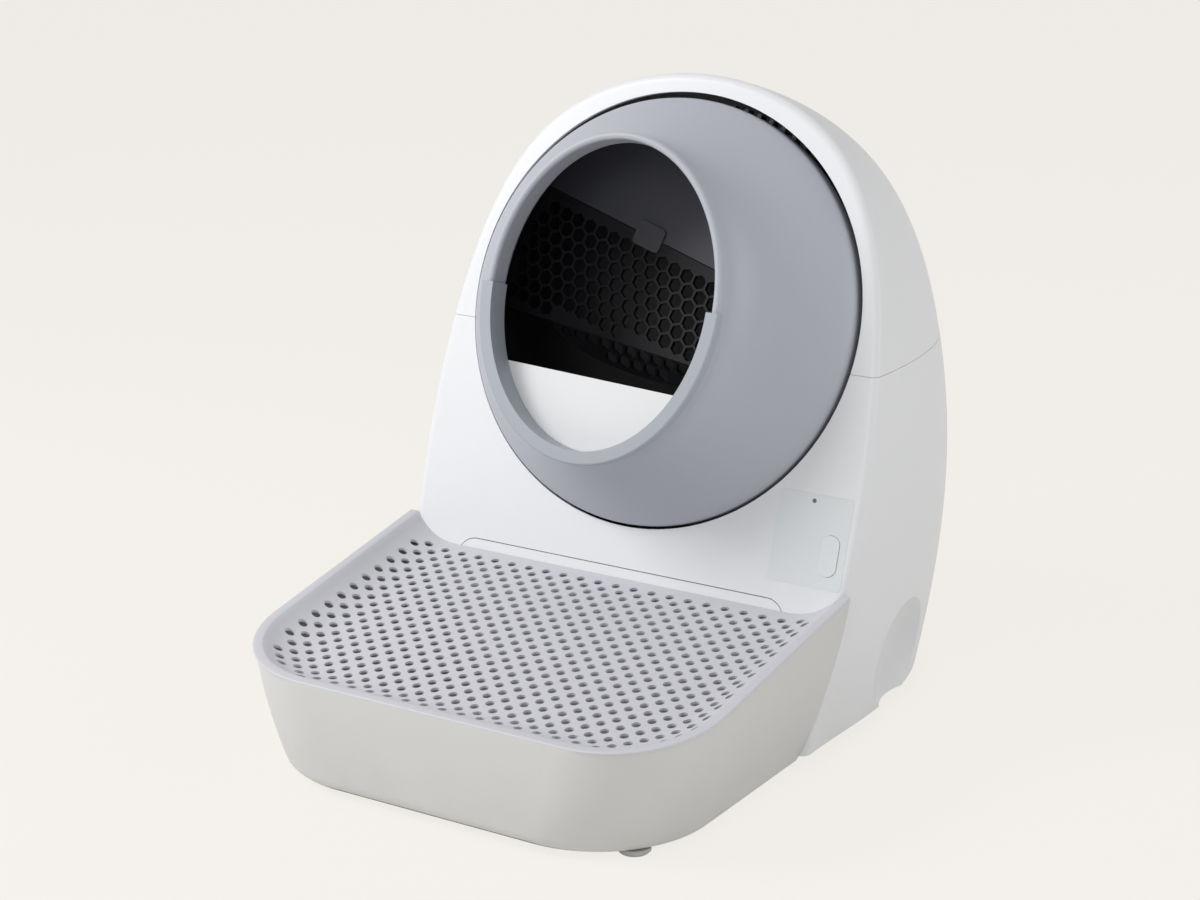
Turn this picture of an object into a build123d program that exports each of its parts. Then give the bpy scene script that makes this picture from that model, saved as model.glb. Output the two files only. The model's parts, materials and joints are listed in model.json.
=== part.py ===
# Rotating-drum litter box: tilted drum in a two-part housing, waste drawer and perforated step in front.
# Millimetres. The origin is on the floor under the middle, +Z is up and the front faces -Y.
import os
from math import acos, atan, cos, degrees, pi, radians, sin, sqrt, tan

from build123d import *

# Drum, its tilted axis and the deck under it
TILT = 18.5
SHELL_RADIUS = 210.0
DECK_TOP = 161.0
DECK_CLEARANCE = 37.0
AXIS_Y = 94.5
AXIS_Z = DECK_TOP + SHELL_RADIUS + DECK_CLEARANCE
RIM_STEP = 11.0
RIM_RADIUS = SHELL_RADIUS + RIM_STEP

# Housing
FOOT_HEIGHT = 16.0
WALL = 4.0
RIM_GAP = 5.0
HOLE_RADIUS = RIM_RADIUS + RIM_GAP
HOLE_RISE = 2.0
FACE_MARGIN = 21.0
ARCH_RADIUS = HOLE_RADIUS + FACE_MARGIN
SIDE_SWELL = 20.0
BULGE_HALF = ARCH_RADIUS + SIDE_SWELL
BULGE_RISE = 35.0
BULGE_Z = DECK_TOP + BULGE_RISE
FOOT_TUCK = 17.0
FOOT_HALF = BULGE_HALF - FOOT_TUCK
FACE_EDGE_RADIUS = 9.0
FRONT_RUN = 6.5
REAR_ROOM = 30.0
REAR_Y = AXIS_Y + SHELL_RADIUS + REAR_ROOM
REAR_EDGE_RADIUS = 16.0
SEAM_DROP = 33.0
SEAM_Z = AXIS_Z - SEAM_DROP
SEAM_GAP = 0.5

# Hand grips scooped out of both sides
GRIP_RADIUS = 90.0
GRIP_DEPTH = 36.0
GRIP_BACK = 62.0
GRIP_RISE = 40.0

# General fits
SEAT_GAP = 0.3
RUN_GAP = 0.05

# Drum
DRUM_WALL = 3.0
RIM_DEPTH = 14.0
SHELL_END = -90.0
DOME_DEPTH = 125.0
POLE_RADIUS = 45.0
MOUTH_HALF_WIDTH = 126.0
MOUTH_HALF_HEIGHT = 157.0
COLLAR_WALL = 8.0
COLLAR_END = 128.0
COLLAR_DEPTH = 24.0
COLLAR_ROUND = 3.6
PORT_HALF_WIDTH = 70.0
PORT_FRONT = -84.0
PORT_REAR = -150.0

# Entry lip and litter guard
LIP_WALL = 3.0
LIP_SKIN = 2.0
LIP_FLANGE = 11.0
GUARD_EDGE = -80.0
GUARD_TURN = -2.5
GUARD_THICK = 3.0

# Sieve and septum
SIEVE_FACE = -20.0
SIEVE_THICK = 5.0
SIEVE_TURN = -17.0
SIEVE_TOP = 62.0
SIEVE_FOOT_LEFT = -76.0
SIEVE_FOOT_RIGHT = -12.0
SIEVE_PITCH = 24.0
SIEVE_WEB = 4.0
SIEVE_EDGE = 6.0
LEAF_X = -20.0
LEAF_HALF = 110.0
LEAF_DROP = 34.0
LEAF_BEND = 30.0
LEAF_COLUMNS = 3
CLIP_SPACING = 117.0
CLIP_WIDTH = 34.0
CLIP_HEIGHT = 26.0
CLIP_CORNER = 5.0

# Ring gear and drive
GEAR_SEAT = 10.0
RING_TEETH = 88
GEAR_MODULE = 2 * (SHELL_RADIUS + GEAR_SEAT) / RING_TEETH
PINION_TEETH = 14
GEAR_FRONT = -32.0
GEAR_WIDTH = 12.0
BACKLASH = 0.8
DRIVE_ANGLE = -140.0
PINION_BORE = 5.0
SHAFT_LENGTH = 34.0
GEARBOX_RADIUS = 28.0
GEARBOX_LENGTH = 30.0
MOTOR_RADIUS = 18.0
MOTOR_LENGTH = 52.0

# Support rollers
TRACK_RISE = 4.0
TRACK_RADIUS = SHELL_RADIUS + TRACK_RISE
TRACK_FRONT = -48.0
TRACK_WIDTH = 20.0
ROLLER_RADIUS = 26.0
ROLLER_WIDTH = 16.0
ROLLER_ANGLE = 30.0
AXLE_RADIUS = 4.0
EAR_THICK = 3.0
EAR_HALF = 14.0

# Rear bearing
HUB_RADIUS = 14.0
HUB_FLANGE_RADIUS = 42.0
HUB_FLANGE = 4.0
BUSH_WALL = 6.0
BUSH_LENGTH = 12.0
BUSH_STEP = 5.0
PEDESTAL_HALF = 36.0

# Cradle deck and chute
DECK_THICK = 4.0
CHUTE_HALF_WIDTH = 105.0
CHUTE_BACK = 1.0
CHUTE_FRONT = AXIS_Y + CHUTE_BACK
CHUTE_LENGTH = 96.0
CHUTE_CORNER = 12.0
CHUTE_SKIRT = 5.0

# Waste drawer
DOOR_DROP = 5.5
DOOR_TOP = DECK_TOP - DOOR_DROP
DOOR_SIDE = 73.0
DOOR_SPREAD = 14.0
DOOR_HALF_TOP = BULGE_HALF - DOOR_SIDE
DOOR_HALF_FOOT = DOOR_HALF_TOP + DOOR_SPREAD
DOOR_CORNER = 22.0
DOOR_GAP = 0.8
BIN_SIDE = 24.0
BIN_HALF = DOOR_HALF_TOP - BIN_SIDE
BIN_DROP = 15.0
BIN_TOP = DECK_TOP - BIN_DROP
BIN_BACK = 93.0
BIN_REAR = REAR_Y - BIN_BACK
BIN_WALL = 2.5
BIN_CORNER = 18.0
RUNNER_HEIGHT = 12.0
RUNNER_WIDTH = 6.0

# Step box and tray
STEP_FOOT_HEIGHT = 6.0
STEP_FRONT = -334.5
STEP_RISE = 10.0
STEP_FALL = 55.0
STEP_RIM_REAR = DECK_TOP + STEP_RISE
STEP_RIM_FRONT = STEP_RIM_REAR - STEP_FALL
STEP_SIDE = 3.0
STEP_TAPER = 7.0
STEP_HALF_REAR = BULGE_HALF - STEP_SIDE
STEP_HALF_FRONT = STEP_HALF_REAR - STEP_TAPER
STEP_CORNER = 108.0
STEP_FOOT_CORNER = 125.0
STEP_TUCK = 29.0
STEP_FRONT_TUCK = 4.0
STEP_WAIST = 0.3
STEP_WALL = 3.0
STEP_FOOT_ROUND = 14.0
STEP_GAP = 0.4
PAD_WIDTH = 60.0
PAD_HEIGHT = 40.0
TRAY_LIP = 2.0
TRAY_DEPTH = 24.0
TRAY_SLOPE = 53.0
TRAY_WALL = 2.5
TRAY_GAP = 0.4
TRAY_EASE = 4.0
HOLE_PITCH_X = 40.0
HOLE_PITCH_Y = 20.0
HOLE_ROUND = 6.5
HOLE_MARGIN = 32.0

# Controls on the front
PANEL_SIDE = 16.0
PANEL_WIDTH = 81.0
PANEL_HEIGHT = 92.0
PANEL_RISE = 70.0
PANEL_RIGHT = BULGE_HALF - PANEL_SIDE
PANEL_LEFT = PANEL_RIGHT - PANEL_WIDTH
PANEL_TOP = PANEL_RISE - HOLE_RADIUS
PANEL_FOOT = PANEL_TOP - PANEL_HEIGHT
PANEL_CORNER = 4.0
PANEL_THICK = 1.4
PANEL_SUNK = 1.2
BUTTON_SIDE = 17.5
BUTTON_RISE = 33.5
BUTTON_X = PANEL_RIGHT - BUTTON_SIDE
BUTTON_U = PANEL_FOOT + BUTTON_RISE
BUTTON_WIDTH = 19.0
BUTTON_HEIGHT = 41.0
BUTTON_PROUD = 0.9
BUTTON_TRAVEL = 1.2
BUTTON_FLANGE = 2.0
LENS_SIDE = 38.0
LENS_DROP = 7.0
LENS_X = PANEL_LEFT + LENS_SIDE
LENS_U = PANEL_TOP - LENS_DROP
LENS_RADIUS = 2.2
BOARD_STANDOFF = 8.0
BOARD_THICK = 1.6
BOARD_MARGIN = 6.0
SWITCH_SIZE = 6.0
POST_RADIUS = 3.0
POST_INSET = 8.0

# Feet, screws, inlet and position sensing
FOOT_RADIUS = 16.0
FOOT_SIDE = 10.0
FOOT_X = BIN_HALF + FOOT_SIDE
FOOT_FRONT_Y = 22.0
FOOT_BACK = 20.5
FOOT_REAR_Y = BIN_REAR + FOOT_BACK
FOOT_CHAMFER = 2.0
STEP_FOOT_SIDE = 67.0
STEP_FOOT_BACK = 61.0
STEP_FOOT_X = STEP_HALF_FRONT - STEP_FOOT_SIDE
STEP_FOOT_Y = STEP_FRONT + STEP_FOOT_BACK
SCREW_HEAD_RADIUS = 3.6
SCREW_HEAD = 2.4
DRUM_SCREWS = 8
INLET_X = 95.0
INLET_RISE = 50.0
INLET_Z = FOOT_HEIGHT + INLET_RISE
INLET_BORE = 2.8
INLET_DEPTH = 10.0
INLET_BODY = 14.0
MAGNET_RADIUS = 4.0
MAGNET_THICK = 3.0
SENSOR_WIDTH = 14.0
SENSOR_HEIGHT = 18.0
SENSOR_THICK = 1.2

# Directions of the tilted frame: x to the right, u up the front, n out of the mouth
LEAN = tan(radians(TILT))
DRUM_FRAME = Plane(
    origin=(0, AXIS_Y, AXIS_Z),
    x_dir=(1, 0, 0),
    z_dir=(0, -cos(radians(TILT)), sin(radians(TILT))),
)
FAR = 2000.0


def tilted(shape):
    """Place a shape modelled in the drum's own frame."""
    return DRUM_FRAME.location * shape


def behind(height):
    """Half-space behind the plane that lies this far in front of the housing's face."""
    return tilted(Pos(0, 0, height - FAR / 2) * Box(FAR, FAR, FAR))


def ahead(height):
    """Half-space in front of the plane that lies this far in front of the housing's face."""
    return tilted(Pos(0, 0, height + FAR / 2) * Box(FAR, FAR, FAR))


def above(z):
    return Pos(0, 0, z + FAR / 2) * Box(FAR, FAR, FAR)


def slab(low, high):
    return Pos(0, 0, (low + high) / 2) * Box(FAR, FAR, high - low)


def rod(radius, low, high, x=0, u=0):
    """Round bar along the drum axis, in the drum's own frame."""
    return Pos(x, u, (low + high) / 2) * Cylinder(radius, high - low)


def ring(outer, inner, low, high, x=0, u=0):
    return rod(outer, low, high, x, u) - rod(inner, low - 1, high + 1, x, u)


def plate(sketch, low, high):
    """Flat piece of a sketch's outline between two heights over the face."""
    return Pos(0, 0, low) * extrude(sketch, high - low)


def height_of(y, z):
    """Distance of a point in front of the face plane."""
    return -(y - AXIS_Y) * cos(radians(TILT)) + (z - AXIS_Z) * sin(radians(TILT))


def along_face(z, height):
    """Place up the face of the point at this level and height over the face."""
    return (z - AXIS_Z - height * sin(radians(TILT))) / cos(radians(TILT))


# Housing sections from front to rear: y, then shares of the arch's radius for the shoulder's drop, the
# shoulder and the crown, shares of the half-widths at the bulge and the foot, and the wall's slope
REAR_REACH = REAR_Y - AXIS_Y
HOUSING_SECTIONS = (
    (AXIS_Y - AXIS_Z * LEAN - FRONT_RUN, 0, 1, 1.255, 0.981, 0.984, 1.0),
    (AXIS_Y, 0, 1, 1.053, 0.996, 1, 1.0),
    (AXIS_Y + REAR_REACH * 0.333, 0, 1, 0.951, 1, 0.984, 1.05),
    (AXIS_Y + REAR_REACH * 0.667, 0.05, 0.955, 0.826, 0.945, 0.91, 1.15),
    (AXIS_Y + REAR_REACH * 0.883, 0.17, 0.875, 0.615, 0.855, 0.80, 1.4),
    (REAR_Y, 0.344, 0.715, 0.324, 0.695, 0.62, 1.7),
)


def housing_section(y, shoulder_z, shoulder, crown_z, bulge, foot, foot_z):
    """Closed arch outline of the housing at one distance from the front."""
    rise = crown_z - shoulder_z
    half = (
        (foot, foot_z),
        (bulge, BULGE_Z),
        (shoulder, shoulder_z),
        (shoulder * cos(pi / 4), shoulder_z + rise * sin(pi / 4)),
    )
    right = [(x, y, z) for x, z in half]
    left = [(-x, y, z) for x, z in reversed(half)]
    arch = Spline(*right, (0, y, crown_z), *left)
    sill = Line(left[-1], right[0])
    return Face(Wire([arch, sill]))


def housing_form(inset, foot_z):
    """Housing's outer form, or the room inside it when inset by a wall."""
    sections = []
    for y, drop, shoulder, crown, bulge, foot, slope in HOUSING_SECTIONS:
        step = inset * slope
        section = housing_section(
            y - inset if y == REAR_Y else y,
            AXIS_Z - drop * ARCH_RADIUS,
            shoulder * ARCH_RADIUS - step,
            AXIS_Z + crown * ARCH_RADIUS - step,
            bulge * BULGE_HALF - step,
            foot * FOOT_HALF - step,
            foot_z,
        )
        sections.append(section)
    return loft(sections)


def grip_scoops(grow):
    """Balls that scoop the hand grips out of both sides."""
    reach = BULGE_HALF + GRIP_RADIUS - GRIP_DEPTH
    ball = Sphere(GRIP_RADIUS + grow)
    return [Pos(side * reach, AXIS_Y + GRIP_BACK, FOOT_HEIGHT + GRIP_RISE) * ball for side in (-1, 1)]


def planar_face(solid, direction):
    """Largest flat face that looks this way."""
    flat = [f for f in solid.faces().filter_by(GeomType.PLANE) if f.normal_at().dot(direction) > 0.999]
    return max(flat, key=lambda f: f.area)


def housing_outside():
    solid = housing_form(0, FOOT_HEIGHT) & behind(0)
    rear = planar_face(solid, Vector(0, 1, 0))
    rear_edges = [e for e in rear.edges() if e.center().Z > FOOT_HEIGHT + 1]
    solid = fillet(rear_edges, REAR_EDGE_RADIUS)
    front = planar_face(solid, DRUM_FRAME.z_dir)
    front_edges = [e for e in front.edges() if e.center().Z > FOOT_HEIGHT + 1]
    return fillet(front_edges, FACE_EDGE_RADIUS)


def housing_room(clearance):
    """Room inside the housing walls, less a clearance."""
    room = housing_form(WALL + clearance, FOOT_HEIGHT - 10) & behind(-WALL - clearance)
    return room - grip_scoops(WALL + clearance)


def door_outline(grow):
    """Trapezoid of the drawer opening with rounded top corners, in the face's frame."""
    top = along_face(DOOR_TOP, 0) + grow
    foot = along_face(FOOT_HEIGHT, 0) - FAR / 50
    drop = top - foot
    spread = (DOOR_HALF_FOOT - DOOR_HALF_TOP) / (along_face(DOOR_TOP, 0) - along_face(FOOT_HEIGHT, 0))
    half_top = DOOR_HALF_TOP + grow
    half_foot = half_top + spread * drop
    outline = Polyline(
        (-half_top, top), (half_top, top), (half_foot, foot), (-half_foot, foot), close=True
    )
    sketch = make_face(outline)
    corners = sketch.vertices().sort_by(Axis.Y)[-2:]
    return fillet(corners, DOOR_CORNER + grow)


def panel_outline(grow):
    width = PANEL_RIGHT - PANEL_LEFT + 2 * grow
    height = PANEL_TOP - PANEL_FOOT + 2 * grow
    middle = Pos((PANEL_LEFT + PANEL_RIGHT) / 2, (PANEL_TOP + PANEL_FOOT) / 2)
    return middle * RectangleRounded(width, height, PANEL_CORNER)


def button_outline(grow):
    upright = SlotOverall(BUTTON_HEIGHT + 2 * grow, BUTTON_WIDTH + 2 * grow, rotation=90)
    return Pos(BUTTON_X, BUTTON_U) * upright


def board_posts():
    """Centres of the control board's four fixing posts, clear of the button."""
    columns = (PANEL_LEFT + POST_INSET, BUTTON_X - BUTTON_WIDTH / 2 - BUTTON_FLANGE - 2 * POST_RADIUS)
    rows = (PANEL_TOP - POST_INSET, PANEL_FOOT + POST_INSET)
    return [(x, u) for x in columns for u in rows]


housing = housing_outside() - grip_scoops(0) - housing_room(0)
housing -= tilted(rod(HOLE_RADIUS, -3 * WALL, WALL, 0, HOLE_RISE))

top_cover = housing & above(SEAM_Z + SEAM_GAP)

base_shell = housing - above(SEAM_Z)
base_shell -= tilted(plate(door_outline(0), -3 * WALL, WALL))
base_shell -= tilted(plate(panel_outline(RUN_GAP), -PANEL_SUNK, WALL))
base_shell -= tilted(plate(button_outline(SEAT_GAP), -2 * WALL, WALL))
base_shell -= tilted(rod(LENS_RADIUS + RUN_GAP, -2 * WALL, WALL, LENS_X, LENS_U))
for post_x, post_u in board_posts():
    base_shell += tilted(rod(POST_RADIUS, -WALL - BOARD_STANDOFF, -WALL, post_x, post_u))
inlet_hole = Pos(INLET_X, REAR_Y, INLET_Z) * Rot(90, 0, 0) * Cylinder(INLET_BODY / 2 + RUN_GAP, 4 * WALL)
base_shell -= inlet_hole

# Floor of the housing, with a low runner on each side of the drawer
PAN_TOP = FOOT_HEIGHT + WALL
base_pan = housing_room(SEAT_GAP) & slab(FOOT_HEIGHT, PAN_TOP)
runner_length = BIN_REAR - FOOT_FRONT_Y
runner_x = BIN_HALF + SEAT_GAP + 1 + RUNNER_WIDTH / 2
for side in (-1, 1):
    runner = Box(RUNNER_WIDTH, runner_length, RUNNER_HEIGHT)
    base_pan += Pos(side * runner_x, (FOOT_FRONT_Y + BIN_REAR) / 2, PAN_TOP + RUNNER_HEIGHT / 2) * runner

# Deck between drum and drawer, with the chute that waste falls through
DECK_FOOT = DECK_TOP - DECK_THICK
chute_middle = Pos(0, CHUTE_FRONT + CHUTE_LENGTH / 2, DECK_FOOT)
chute_size = (2 * CHUTE_HALF_WIDTH, CHUTE_LENGTH)
drum_cradle = housing_room(SEAT_GAP) & slab(DECK_FOOT, DECK_TOP)
skirt = RectangleRounded(*[size + 2 * DECK_THICK for size in chute_size], CHUTE_CORNER + DECK_THICK)
chute = RectangleRounded(*chute_size, CHUTE_CORNER)
drum_cradle += Pos(0, 0, -CHUTE_SKIRT) * chute_middle * extrude(skirt, CHUTE_SKIRT)
drum_cradle -= Pos(0, 0, -2 * CHUTE_SKIRT) * chute_middle * extrude(chute, 4 * CHUTE_SKIRT)


# Drum front: bell from the round rim to the oval collar
COLLAR_HALF_WIDTH = MOUTH_HALF_WIDTH + COLLAR_WALL
COLLAR_HALF_HEIGHT = MOUTH_HALF_HEIGHT + COLLAR_WALL
COLLAR_START = COLLAR_END - COLLAR_DEPTH


def oval(half_width, half_height, height):
    """Upright oval across the drum axis; its long way is up the front."""
    across = Plane(origin=(0, 0, height), x_dir=(0, 1, 0), z_dir=(0, 0, 1))
    if half_height == half_width:
        return across * Circle(half_width)
    return across * Ellipse(half_height, half_width)


def oval_bar(half_width, half_height, low, high):
    return extrude(oval(half_width, half_height, low), high - low)


def bell(inset, low):
    """Bell form: its profile eases from the rim's circle into the collar's oval."""
    easing = ((0.06, 0.99), (0.24, 0.80), (0.54, 0.37), (0.78, 0.10), (0.92, 0.015))
    sections = [oval(RIM_RADIUS - inset, RIM_RADIUS - inset, low)]
    for share, weight in easing:
        half_width = COLLAR_HALF_WIDTH + weight * (RIM_RADIUS - COLLAR_HALF_WIDTH)
        half_height = COLLAR_HALF_HEIGHT + weight * (RIM_RADIUS - COLLAR_HALF_HEIGHT)
        sections.append(oval(half_width - inset, half_height - inset, share * COLLAR_START))
    sections.append(oval(COLLAR_HALF_WIDTH - inset, COLLAR_HALF_HEIGHT - inset, COLLAR_START))
    return loft(sections)


def round_ends(solid, height, radius):
    """Round every edge that lies in one plane across the drum axis."""
    level = solid.edges().filter_by_position(Axis.Z, height - 0.01, height + 0.01)
    flat = [e for e in level if e.bounding_box().size.Z < 0.01]
    return fillet(flat, radius)


collar = oval_bar(COLLAR_HALF_WIDTH, COLLAR_HALF_HEIGHT, COLLAR_START, COLLAR_END)
collar -= oval_bar(MOUTH_HALF_WIDTH, MOUTH_HALF_HEIGHT, COLLAR_START - 1, COLLAR_END + 1)
collar = round_ends(collar, COLLAR_END, COLLAR_ROUND)
drum_front = bell(0, 0) - bell(DRUM_WALL, 0)
drum_front += collar
drum_front += ring(RIM_RADIUS, SHELL_RADIUS - 2 * DRUM_WALL, -RIM_DEPTH, 0)


# Drum rear: turned shell with the rollers' track, a flat pole and the waste port
def drum_body(inset, front):
    """Solid of revolution inside the drum wall, from the rim back to the flat pole."""
    outer = SHELL_RADIUS - inset
    depth = DOME_DEPTH - inset
    dome = EllipticalCenterArc((0, SHELL_END), outer, depth, start_angle=270, arc_size=90)
    sides = Polyline((outer, SHELL_END), (outer, front), (0, front), (0, SHELL_END - depth))
    turned = revolve(Plane.XZ * make_face([dome, sides]), Axis.Z)
    return turned & Pos(0, 0, POLE_HEIGHT + inset + FAR / 2) * Box(FAR, FAR, FAR)


POLE_HEIGHT = SHELL_END - DOME_DEPTH * sqrt(1 - (POLE_RADIUS / SHELL_RADIUS) ** 2)
track = ring(TRACK_RADIUS, SHELL_RADIUS - 1, TRACK_FRONT - TRACK_WIDTH, TRACK_FRONT)
gear_rear = GEAR_FRONT - GEAR_WIDTH
gear_stop = ring(TRACK_RADIUS, SHELL_RADIUS - 1, TRACK_FRONT, gear_rear)
flange = ring(RIM_RADIUS, SHELL_RADIUS - 1, -RIM_DEPTH - DRUM_WALL, -RIM_DEPTH)
port_cut = Pos(0, SHELL_RADIUS, (PORT_FRONT + PORT_REAR) / 2)
port_cut = port_cut * Box(2 * PORT_HALF_WIDTH, SHELL_RADIUS, PORT_FRONT - PORT_REAR)
drum_rear = drum_body(0, -RIM_DEPTH) + track + gear_stop + flange
drum_rear -= drum_body(DRUM_WALL, 0)
drum_rear -= port_cut

# Stub shaft on the drum's back, its bush and the pedestal that carries the bush
bush_front = POLE_HEIGHT - HUB_FLANGE - BUSH_STEP
bush_rear = bush_front - BUSH_LENGTH
bush_outer = HUB_RADIUS + RUN_GAP + BUSH_WALL
drum_hub = rod(HUB_FLANGE_RADIUS, POLE_HEIGHT - HUB_FLANGE, POLE_HEIGHT)
drum_hub += rod(HUB_RADIUS, bush_rear - 2, POLE_HEIGHT)
hub_bush = ring(bush_outer, HUB_RADIUS + RUN_GAP, bush_rear, bush_front)


def on_deck(shape):
    """Trim a tilted upright where it stands on the deck."""
    return tilted(shape) & above(DECK_TOP)


def upright(half_width, top, low, high, x=0):
    """Tilted upright plate that reaches from below the deck to a level up the face."""
    foot = -SHELL_RADIUS * 2
    return Pos(x, (top + foot) / 2, (low + high) / 2) * Box(2 * half_width, top - foot, high - low)


pedestal = upright(PEDESTAL_HALF, 0, bush_rear, bush_front) + rod(PEDESTAL_HALF, bush_rear, bush_front)
hub_bracket = on_deck(pedestal - rod(bush_outer, bush_rear - 1, bush_front + 1))

# Ring gear and pinion with plain trapezoid teeth
def gear_outline(teeth, first_angle):
    """Outline of a spur gear; one tooth points at the first angle, in degrees."""
    pitch = GEAR_MODULE * teeth / 2
    quarter = pi / (2 * teeth)
    slack = BACKLASH / pitch / 2
    tip = pitch + 0.9 * GEAR_MODULE
    root = pitch - 1.2 * GEAR_MODULE
    spread = 0.9 * GEAR_MODULE * tan(radians(20)) / pitch
    points = []
    for tooth in range(teeth):
        middle = radians(first_angle) + 2 * pi * tooth / teeth
        for radius, half in ((root, quarter + spread - slack), (tip, quarter - spread - slack)):
            points.append((radius * cos(middle - half), radius * sin(middle - half)))
        for radius, half in ((tip, quarter - spread - slack), (root, quarter + spread - slack)):
            points.append((radius * cos(middle + half), radius * sin(middle + half)))
    return make_face(Polyline(*points, close=True))


RING_PITCH = GEAR_MODULE * RING_TEETH / 2
PINION_PITCH = GEAR_MODULE * PINION_TEETH / 2
DRIVE_REACH = RING_PITCH + PINION_PITCH
drive_x = DRIVE_REACH * cos(radians(DRIVE_ANGLE))
drive_u = DRIVE_REACH * sin(radians(DRIVE_ANGLE))
half_tooth = 180 / RING_TEETH
ring_gear = plate(gear_outline(RING_TEETH, DRIVE_ANGLE + half_tooth), gear_rear, GEAR_FRONT)
ring_gear -= rod(SHELL_RADIUS + RUN_GAP, gear_rear - 1, GEAR_FRONT + 1)
pinion_teeth = gear_outline(PINION_TEETH, DRIVE_ANGLE + 180)
drive_pinion = Pos(drive_x, drive_u, 0) * plate(pinion_teeth, gear_rear, GEAR_FRONT + 2)
drive_pinion -= rod(PINION_BORE, gear_rear - 1, GEAR_FRONT + 3, drive_x, drive_u)

# Gear motor behind the pinion, on its own bracket
bracket_front = gear_rear - 2
bracket_rear = bracket_front - EAR_THICK
pinion_shaft = rod(PINION_BORE, GEAR_FRONT + 4 - SHAFT_LENGTH, GEAR_FRONT + 4, drive_x, drive_u)
gearbox_rear = bracket_rear - GEARBOX_LENGTH
shaft_well = rod(PINION_BORE + RUN_GAP, GEAR_FRONT + 3 - SHAFT_LENGTH, bracket_front + 1, drive_x, drive_u)
gearbox = rod(GEARBOX_RADIUS, gearbox_rear, bracket_rear, drive_x, drive_u) - shaft_well
drive_motor = rod(MOTOR_RADIUS, gearbox_rear - MOTOR_LENGTH, gearbox_rear, drive_x, drive_u)
drive_motor += rod(MOTOR_RADIUS / 3, gearbox_rear - MOTOR_LENGTH - 5, gearbox_rear, drive_x, drive_u)
motor_plate = upright(GEARBOX_RADIUS, drive_u, bracket_rear, bracket_front, drive_x)
motor_plate += rod(GEARBOX_RADIUS, bracket_rear, bracket_front, drive_x, drive_u)
motor_plate -= shaft_well
motor_plate -= rod(RING_PITCH + 2, bracket_rear - 1, bracket_front + 1)
motor_bracket = on_deck(motor_plate)

# Two support rollers on fixed axles between upright ears
roller_middle = TRACK_FRONT - TRACK_WIDTH / 2
roller_reach = TRACK_RADIUS + SEAT_GAP + ROLLER_RADIUS
roller_front = roller_middle + ROLLER_WIDTH / 2
roller_rear = roller_middle - ROLLER_WIDTH / 2
ear_gap = 0.5
rollers = {}
roller_brackets = []
roller_axles = []
for side, name in ((-1, "left"), (1, "right")):
    roller_x = side * roller_reach * sin(radians(ROLLER_ANGLE))
    roller_u = -roller_reach * cos(radians(ROLLER_ANGLE))
    rollers[name] = ring(ROLLER_RADIUS, AXLE_RADIUS + RUN_GAP, roller_rear, roller_front, roller_x, roller_u)
    axle_ends = (roller_rear - ear_gap - EAR_THICK, roller_front + ear_gap + EAR_THICK)
    roller_axles.append(tilted(rod(AXLE_RADIUS, *axle_ends, roller_x, roller_u)))
    ears = []
    for low in (axle_ends[0], roller_front + ear_gap):
        ear = upright(EAR_HALF, roller_u, low, low + EAR_THICK, roller_x)
        ear += rod(EAR_HALF, low, low + EAR_THICK, roller_x, roller_u)
        ear -= rod(AXLE_RADIUS, low - 1, low + EAR_THICK + 1, roller_x, roller_u)
        ears.append(ear - rod(TRACK_RADIUS + 3, low - 1, low + EAR_THICK + 1))
    web = upright(EAR_HALF, roller_u - ROLLER_RADIUS - 4, *axle_ends, roller_x)
    roller_brackets.append(on_deck(ears[0] + ears[1] + web))

# Septum panel, sieve and its clips, turned together about the drum axis
inner_radius = SHELL_RADIUS - DRUM_WALL - RUN_GAP
septum_rear = SIEVE_FACE - SIEVE_THICK
drum_section = Circle(inner_radius)
septum_outline = drum_section & Pos(0, SIEVE_TOP + RUN_GAP + FAR / 2) * Rectangle(FAR, FAR)
septum_panel = plate(septum_outline, septum_rear, SIEVE_FACE)
sieve_middle = (SIEVE_FOOT_LEFT + SIEVE_FOOT_RIGHT) / 2
foot_slope = (SIEVE_FOOT_RIGHT - SIEVE_FOOT_LEFT) / (2 * inner_radius)
band_corners = (
    (-inner_radius, SIEVE_TOP),
    (inner_radius, SIEVE_TOP),
    (inner_radius, SIEVE_FOOT_RIGHT),
    (-inner_radius, SIEVE_FOOT_LEFT),
)
sieve_outline = drum_section & make_face(Polyline(*band_corners, close=True))
cell_radius = (SIEVE_PITCH - SIEVE_WEB) / sqrt(3)
row_pitch = SIEVE_PITCH * sqrt(3) / 2
cell = RegularPolygon(cell_radius, 6, rotation=30)
row_count = int((SIEVE_TOP - SIEVE_FOOT_LEFT) / row_pitch)
column_count = int(inner_radius / SIEVE_PITCH)
cells = []
for row in range(row_count):
    cell_u = SIEVE_TOP - SIEVE_EDGE - cell_radius - row * row_pitch
    reach = sqrt(inner_radius**2 - (abs(cell_u) + cell_radius) ** 2) - SIEVE_EDGE - SIEVE_PITCH / 2
    for column in range(-column_count, column_count + 1):
        cell_x = (column + row % 2 / 2) * SIEVE_PITCH
        foot = sieve_middle + foot_slope * (cell_x + SIEVE_PITCH) + SIEVE_EDGE
        if abs(cell_x) < reach and cell_u - cell_radius > foot:
            cells.append(Pos(cell_x, cell_u) * cell)
sieve = plate(sieve_outline - cells, septum_rear, SIEVE_FACE)
leaf_outline = Ellipse(LEAF_HALF, LEAF_DROP) & Pos(0, -LEAF_DROP) * Rectangle(2 * LEAF_HALF, 2 * LEAF_DROP)
leaf_columns = range(-LEAF_COLUMNS, LEAF_COLUMNS + 1)
leaf_cells = [Pos(column * SIEVE_PITCH, -LEAF_DROP / 2) * cell for column in leaf_columns]
leaf = Rot(LEAF_BEND, 0, 0) * extrude(leaf_outline - leaf_cells, SIEVE_THICK)
leaf_top = sieve_middle + foot_slope * LEAF_X + SIEVE_THICK / 2
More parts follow.
